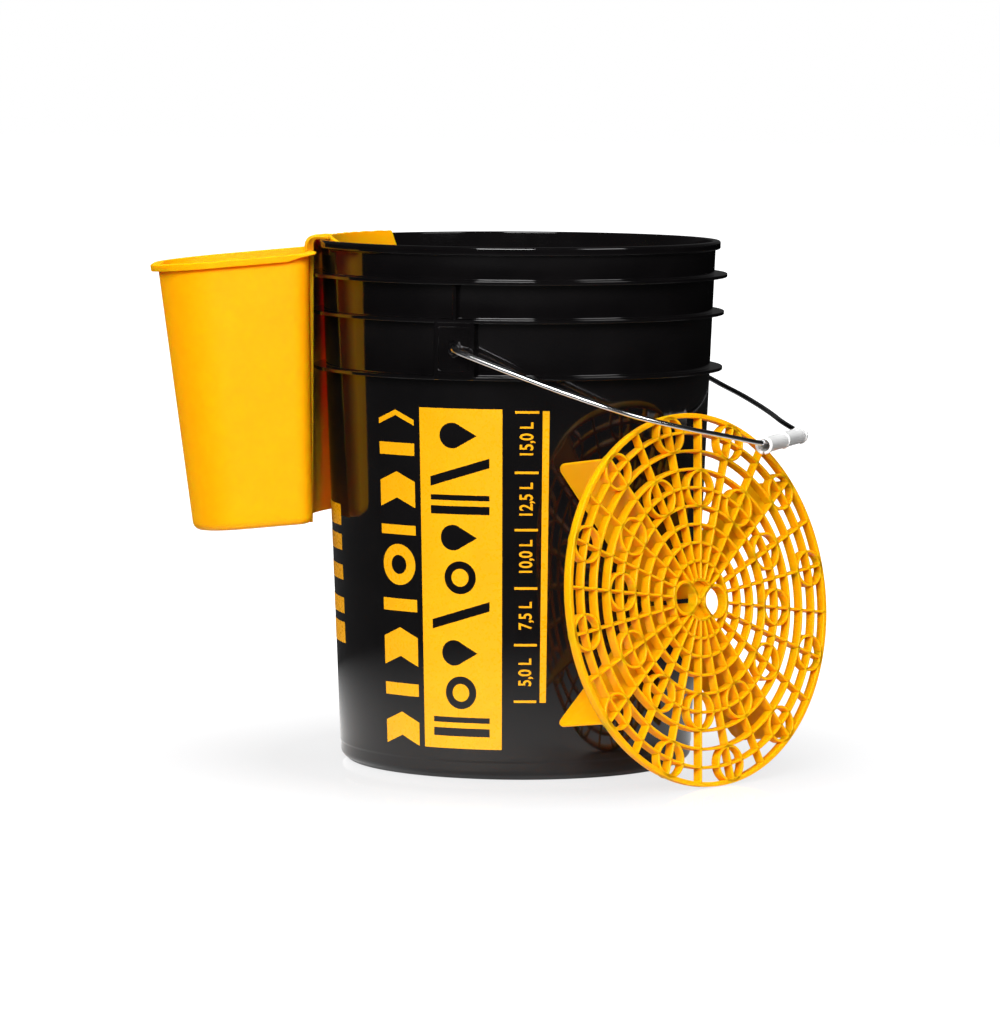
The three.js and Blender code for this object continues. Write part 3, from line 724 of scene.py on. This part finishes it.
def basket_loop(grow, depth, keep_out, near_corner=None):
    """One level of the basket, pushed clear of the bucket's curve."""
    corner = max(INNER_CORNER + grow, 0.8) if near_corner is None else near_corner
    middle, half_length = (INNER + OUTER) / 2, (OUTER - INNER) / 2
    loop = []
    for x, y in basket_plan(grow, corner):
        share = (x - middle) / half_length
        x -= share * depth * math.tan(DRAFT_OUTER if share > 0 else DRAFT_INNER)
        y -= y / HALF_WIDTH * depth * math.tan(DRAFT_SIDE)
        wx = BASKET_REACH + x * math.cos(TILT) - depth * math.sin(TILT)
        wz = BUCKET_HEIGHT - LIP_DROP - x * math.sin(TILT) - depth * math.cos(TILT)
        if math.hypot(wx, y) < keep_out:
            wx = math.sqrt(max(keep_out ** 2 - y * y, 0))
        loop.append((wx, y, wz))
    return loop


def skirt_depth(x):
    """The lip's skirt slopes away next to the bucket."""
    return 1.6 + (SKIRT - 1.6) * min(max((x - 6.9) / 6.6, 0), 1)


def skirt_loop(grow, level, keep_out):
    """A loop of the lip's skirt at a share of its depth."""
    base = basket_loop(grow, 0, keep_out, 2.0)
    low = basket_loop(grow, SKIRT, keep_out, 2.0)
    plan = basket_plan(grow, 2.0)
    loop = []
    for (x, _), top, bottom in zip(plan, base, low):
        depth = skirt_depth(x) * level
        loop.append(tuple(a + (b - a) * depth / SKIRT for a, b in zip(top, bottom)))
    return loop


basket = Shape()
# Next to the bucket, the basket's outer and inner skins follow the back plate's two faces.
loops = []
for grow, depth in ((-BASKET_WALL, 1.2), (-BASKET_WALL, 0.3), (-1.9, 0.0)):
    loops.append(basket_loop(grow, depth, BACK_OUTSIDE))
for grow, depth in ((3.9, 0.0), (5.0, 0.12), (5.45, 0.6)):
    loops.append(basket_loop(grow, depth, BACK_INSIDE, 2.0))
for grow, level in ((5.45, 0.85), (5.2, 1.0), (4.3, 1.0), (4.0, 0.9)):
    loops.append(skirt_loop(grow, level, BACK_INSIDE))
loops.append(basket_loop(3.8, 1.5, BACK_INSIDE, 2.0))
for grow, depth in ((1.0, 1.6), (0.15, 2.1)):
    loops.append(basket_loop(grow, depth, BACK_INSIDE))
for depth in (4, 20, 50, 90, 130, 165, 188, 192.6):
    loops.append(basket_loop(0, depth, BACK_INSIDE))
for k in range(1, 6):
    a = math.pi / 2 * k / 5
    loops.append(basket_loop(-6 * (1 - math.cos(a)), 192.6 + 6 * math.sin(a), BACK_INSIDE))
loops.append(basket_loop(-9, DEPTH, BACK_INSIDE))
loops.append(basket_loop(-10, DEPTH - 0.6, BACK_INSIDE))
loops.append(basket_loop(-40, DEPTH - 0.6, BACK_INSIDE, 6))
loops_in = [basket_loop(-BASKET_WALL, depth, BACK_OUTSIDE) for depth in (1.2, 20, 60, 110, 160, 188)]
for k in range(1, 6):
    a = math.pi / 2 * k / 5
    loops_in.append(basket_loop(-BASKET_WALL - 6 * (1 - math.cos(a)), 190.2 + 6 * math.sin(a),
                                BACK_OUTSIDE))
loops_in.append(basket_loop(-40, DEPTH - 2.4, BACK_OUTSIDE, 6))
basket.loft([*loops_in[::-1], *loops], CADDY_PLACE, start_cap=True, end_cap=True)


def ring_part(shape, corners, span, steps, fillet_steps=4):
    shape.turned(filleted(corners, fillet_steps), steps, CADDY_PLACE, span)


# The back plate behind the basket, and the hook over the rim with its ribs.
BACK_SPAN = (rad(-26), rad(15))
BACK_LOW, BACK_HIGH = 178.7, 376
HOOK_SPAN = (rad(-17), rad(10.2))
HOOK_LEG = 374
RIB_ANGLES = (9.8, 4.5, -2, -8.5)
RIB_PROUD = 0.35
ring_part(basket, [(BACK_INSIDE, BACK_LOW, 0.5), (BACK_OUTSIDE, BACK_LOW, 0.5),
                   (BACK_OUTSIDE, BACK_HIGH, 0.3), (BACK_INSIDE, BACK_HIGH, 0.3)], BACK_SPAN, 24)


def hook_corners(proud, leg):
    top = BUCKET_HEIGHT + 1.6 + proud
    under = BUCKET_HEIGHT + 0.2
    back = BACK_OUTSIDE + proud
    return [(139.9, under, 0), (153.4, under, 3), (153.4, leg, 0.4), (back, leg, 0.4),
            (back, top, 6.5 + proud), (139.9, top, 0.6)]


ring_part(basket, hook_corners(0, HOOK_LEG), HOOK_SPAN, 24, 8)
for a in RIB_ANGLES:
    ring_part(basket, hook_corners(RIB_PROUD, HOOK_LEG), (rad(a - 0.4), rad(a + 0.4)), 2, 8)


PLATE_LOW, PLATE_TOP = 328.7, 388.9
PLATE_NEAR, PLATE_FAR = 60, -105
PLATE_ROUND = 32
# The top edge is level between the two sloping ends, with a slight scallop.
LEVEL_FAR, LEVEL_NEAR = -99.5, 22.5
SCALLOP, SCALLOP_PITCH = 0.22, 13


def plate_limits(y):
    """Lowest and highest point of the inner plate at this Y."""
    top = None
    if LEVEL_FAR < y < LEVEL_NEAR:
        top = PLATE_TOP + SCALLOP * math.cos(y * TURN / SCALLOP_PITCH)
    far = [(PLATE_FAR, 366), (-103.6, 376), (LEVEL_FAR, PLATE_TOP)]
    near_side = [(LEVEL_NEAR, PLATE_TOP), (48, 386), (57, 379), (PLATE_NEAR, 366)]
    for edge in (far, near_side):
        for (y0, z0), (y1, z1) in zip(edge, edge[1:]):
            if y0 <= y <= y1:
                top = z0 + (z1 - z0) * (y - y0) / (y1 - y0)
    low = PLATE_LOW
    for centre, side in ((PLATE_FAR + PLATE_ROUND, -1), (PLATE_NEAR - PLATE_ROUND, 1)):
        over = (y - centre) * side
        if over > 0:
            low = PLATE_LOW + PLATE_ROUND - math.sqrt(max(PLATE_ROUND ** 2 - over ** 2, 0))
    return low, top


columns = []
span = [-105, -104.6, -103.6, -102, -100.5, -99.5]
span += [-99.4 + 2.3 * k for k in range(1, 53)]
span += [22.5, 26, 30, 34, 38, 42, 46, 48, 51, 54, 57, 58.5, 59.5, 60]
for y in span:
    low, high = plate_limits(y)
    high = max(high, low + 0.4)
    section = []
    for radius, z in ((138.65, low + 0.3), (139.2, low), (140.6, low), (141.15, low + 0.3),
                      (141.15, high - 0.3), (140.6, high), (139.2, high), (138.65, high - 0.3)):
        section.append((math.sqrt(radius ** 2 - y * y), y, z))
    columns.append(section)
basket.loft(columns, CADDY_PLACE, start_cap=True, end_cap=True)
basket.piece("caddy_basket", CADDY, "side_caddy", "caddy_yellow", ["caddy"])


# ---- studio ----------------------------------------------------------------------------------
CAMERA_PLACE = (0, -3.84749, 0.54286)
CAMERA_LENS = 186.63
CAMERA_YAW, CAMERA_PITCH, CAMERA_ROLL = -0.0033, -0.0927, 0.0053


def look_camera():
    yaw, pitch, roll = CAMERA_YAW, CAMERA_PITCH, CAMERA_ROLL
    ahead = Vector((math.sin(yaw) * math.cos(pitch), math.cos(yaw) * math.cos(pitch), math.sin(pitch)))
    right = Vector((math.cos(yaw), -math.sin(yaw), 0))
    up = right.cross(ahead)
    right, up = (math.cos(roll) * right + math.sin(roll) * up,
                 -math.sin(roll) * right + math.cos(roll) * up)
    turn = Matrix.Rotation(LOOK_TURN, 3, "Z")
    place = Matrix((turn @ right, turn @ up, -(turn @ ahead))).transposed().to_4x4()
    place.translation = turn @ Vector(CAMERA_PLACE)
    camera = bpy.data.cameras.new("look")
    camera.lens = CAMERA_LENS
    camera.sensor_width = 36
    camera.sensor_fit = "HORIZONTAL"
    camera.clip_end = 50
    obj = bpy.data.objects.new("look", camera)
    obj.matrix_world = place
    bpy.context.scene.collection.objects.link(obj)
    bpy.context.scene.camera = obj


def softbox(name, place, aim, size, power, mirrored=True):
    """An area light, placed in the camera's frame. One that isn't mirrored gives no highlights."""
    light = bpy.data.lights.new(name, "AREA")
    light.shape = "RECTANGLE"
    light.size, light.size_y = size
    light.energy = power
    turn = Matrix.Rotation(LOOK_TURN, 4, "Z")
    place, aim = turn @ Vector(place), turn @ Vector(aim)
    obj = bpy.data.objects.new(name, light)
    obj.rotation_euler = (aim - place).to_track_quat("-Z", "Y").to_euler()
    obj.location = place
    obj.visible_glossy = mirrored
    bpy.context.scene.collection.objects.link(obj)


def floor():
    """A pale floor that the camera sees as white and other rays see as dim. Its white is a painted
    glow, weaker near the bucket as painted shade; to other rays the floor carries a painted pool of
    light round the bucket.
    """
    mesh = bpy.data.meshes.new("floor")
    reach = 20.0
    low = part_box("bucket_shell")[0][2]
    mesh.from_pydata([(-reach, -reach, low), (reach, -reach, low), (reach, reach, low),
                      (-reach, reach, low)], [], [[0, 1, 2, 3]])
    look = Look("floor_white", (0.14, 0.14, 0.145), 0.1)
    tree = look.tree
    out = next(n for n in tree.nodes if n.type == "OUTPUT_MATERIAL")
    # Painted light: for the camera the floor glows with its own light; it is no lamp.
    painted_glow = tree.nodes.new("ShaderNodeEmission")
    path = tree.nodes.new("ShaderNodeLightPath")
    dark = tree.nodes.new("ShaderNodeBsdfDiffuse")
    bright = tree.nodes.new("ShaderNodeAddShader")
    mix = tree.nodes.new("ShaderNodeMixShader")
    tree.links.new(look.shader.outputs[0], bright.inputs[0])
    tree.links.new(painted_glow.outputs[0], bright.inputs[1])
    length = tree.nodes.new("ShaderNodeVectorMath")
    length.operation = "LENGTH"
    tree.links.new(look.place, length.inputs[0])
    # The painted glow is weaker near the bucket, a painted shade round its base, and stronger further
    # out.
    tree.links.new(look.ramp(length.outputs["Value"], 0.76, 1.3, 0.18, 0.62), painted_glow.inputs["Strength"])
    # Painted pool of light: to other rays the floor's colour is pale near the bucket and fades to
    # nearly black further out.
    painted_pool_of_light = look.ramp(length.outputs["Value"], 0.7, 0.03, 0.2, 0.55)
    tree.links.new(painted_pool_of_light, dark.inputs["Color"])
    tree.links.new(path.outputs["Is Camera Ray"], mix.inputs[0])
    tree.links.new(dark.outputs[0], mix.inputs[1])
    tree.links.new(bright.outputs[0], mix.inputs[2])
    tree.links.new(mix.outputs[0], out.inputs["Surface"])
    mesh.materials.append(look.material)
    obj = bpy.data.objects.new("floor", mesh)
    bpy.context.scene.collection.objects.link(obj)


def sky():
    """White to the camera; to other rays, bright behind the object and dim in front of it."""
    world = bpy.data.worlds.new("studio")
    bpy.context.scene.world = world
    world.use_nodes = True
    tree = world.node_tree
    background = tree.nodes["Background"]
    white = tree.nodes.new("ShaderNodeBackground")
    white.inputs["Color"].default_value = (1, 1, 1, 1)
    coord = tree.nodes.new("ShaderNodeTexCoord")
    dot = tree.nodes.new("ShaderNodeVectorMath")
    dot.operation = "DOT_PRODUCT"
    dot.inputs[1].default_value = Matrix.Rotation(LOOK_TURN, 3, "Z") @ Vector((0, 1, 0))
    tree.links.new(coord.outputs["Generated"], dot.inputs[0])
    spread = tree.nodes.new("ShaderNodeMapRange")
    spread.inputs["From Min"].default_value = 0.1
    spread.inputs["From Max"].default_value = 0.95
    spread.inputs["To Min"].default_value = 0.12
    spread.inputs["To Max"].default_value = 0.9
    tree.links.new(dot.outputs["Value"], spread.inputs["Value"])
    tree.links.new(spread.outputs["Result"], background.inputs["Strength"])
    path = tree.nodes.new("ShaderNodeLightPath")
    mix = tree.nodes.new("ShaderNodeMixShader")
    tree.links.new(path.outputs["Is Camera Ray"], mix.inputs[0])
    tree.links.new(background.outputs[0], mix.inputs[1])
    tree.links.new(white.outputs[0], mix.inputs[2])
    tree.links.new(mix.outputs[0], tree.nodes["World Output"].inputs["Surface"])


look_camera()
floor()
sky()
# name, place, aim, (width, height), power in watts and whether surfaces mirror it
softbox("front", (-0.4, -3.0, 1.8), (0, 0, 0.2), (1.8, 1.2), 128)
softbox("low_left", (-1.3, -2.3, 0.95), (0.1, 0, 0.2), (1.0, 1.0), 27, False)
softbox("right", (1.9, -1.6, 1.4), (0.1, 0, 0.2), (1.2, 1.2), 28)
softbox("top", (0, 0.3, 2.4), (0, 0, 0), (2.2, 2.0), 50, False)
softbox("behind", (-1.6, 1.4, 1.0), (-0.2, 0, 0.25), (1.0, 1.0), 40, False)
bpy.context.scene.view_settings.view_transform = "Standard"
